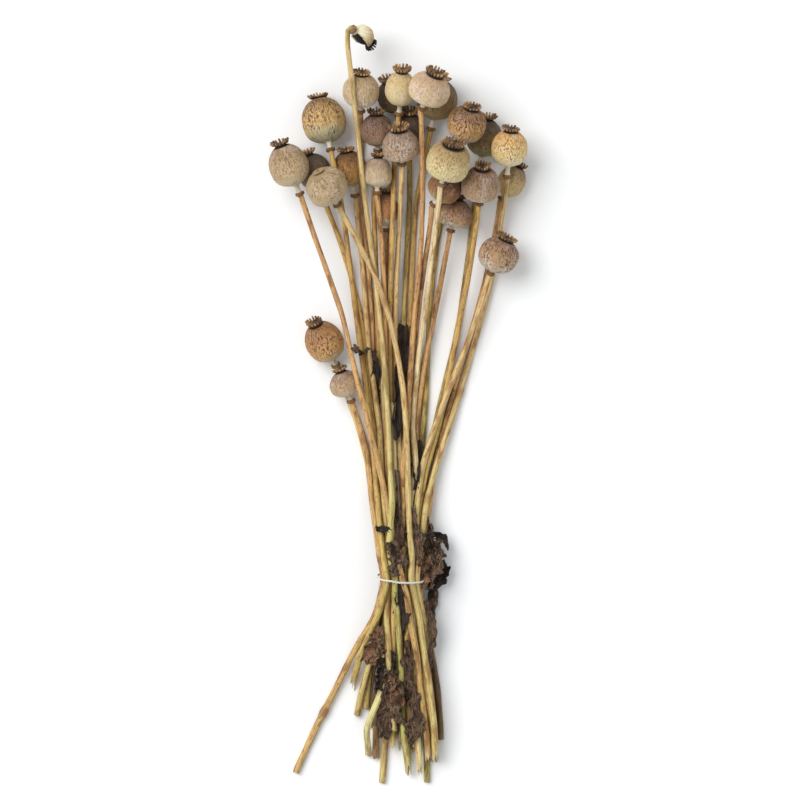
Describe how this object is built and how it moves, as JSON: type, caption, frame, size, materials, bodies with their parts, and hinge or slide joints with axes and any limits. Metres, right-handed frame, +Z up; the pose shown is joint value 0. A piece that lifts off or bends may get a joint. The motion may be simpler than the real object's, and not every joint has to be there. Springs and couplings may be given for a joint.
{
  "type": "bunch of dried poppy seed heads",
  "caption": "Bunch of dried poppy seed heads on long straw stems, tied low down and lying on its side, with shrivelled dark leaves among the stems.",
  "frame": {"origin": "middle of the bounding box at the surface the bunch lies on", "axes": "+Z up from the surface, +Y along the bunch from the cut stem ends to the seed heads, +X to the right when it is looked down on with the heads at the top"},
  "size_m": [0.2068, 0.6054, 0.0763],
  "materials": {
    "pale_seed_head": "dry and matt, pale cream with a greyish bloom",
    "tan_seed_head": "dry and matt, tan with dark specks",
    "brown_seed_head": "dry and matt, brown with a whitish bloom by the stalk",
    "straw_stem": "dry, slightly glossy straw yellow",
    "green_stem": "dry, slightly glossy olive",
    "dead_leaf": "dry and matt, nearly black",
    "tie": "matt white"
  },
  "bodies": {
    "root": {"seed_head_01": "tan_seed_head", "seed_head_02": "tan_seed_head", "seed_head_03": "pale_seed_head", "seed_head_04": "pale_seed_head", "seed_head_05": "brown_seed_head", "seed_head_06": "brown_seed_head", "seed_head_07": "brown_seed_head", "seed_head_08": "brown_seed_head", "seed_head_09": "pale_seed_head", "seed_head_10": "pale_seed_head", "seed_head_11": "pale_seed_head", "seed_head_12": "tan_seed_head", "seed_head_13": "brown_seed_head", "seed_head_14": "pale_seed_head", "seed_head_15": "tan_seed_head", "seed_head_16": "brown_seed_head", "seed_head_17": "brown_seed_head", "seed_head_18": "brown_seed_head", "seed_head_19": "brown_seed_head", "seed_head_20": "pale_seed_head", "seed_head_21": "brown_seed_head", "seed_head_22": "tan_seed_head", "seed_head_23": "tan_seed_head", "seed_head_24": "brown_seed_head", "seed_head_25": "tan_seed_head", "seed_head_26": "tan_seed_head", "seed_head_27": "brown_seed_head", "stem_01": "straw_stem", "stem_02": "straw_stem", "stem_03": "straw_stem", "stem_04": "straw_stem", "stem_05": "straw_stem", "stem_06": "straw_stem", "stem_07": "straw_stem", "stem_08": "green_stem", "stem_09": "straw_stem", "stem_10": "straw_stem", "stem_11": "straw_stem", "stem_12": "green_stem", "stem_13": "straw_stem", "stem_14": "straw_stem", "stem_15": "straw_stem", "stem_16": "straw_stem", "stem_17": "straw_stem", "stem_18": "straw_stem", "stem_19": "straw_stem", "stem_20": "straw_stem", "stem_21": "straw_stem", "stem_22": "straw_stem", "stem_23": "straw_stem", "stem_24": "straw_stem", "stem_25": "straw_stem", "stem_26": "green_stem", "stem_27": "straw_stem", "stem_28": "green_stem", "stem_29": "green_stem", "leaf_inner": "dead_leaf", "leaf_left": "dead_leaf", "leaf_right": "dead_leaf", "tie": "tie"}
  },
  "joints": []
}
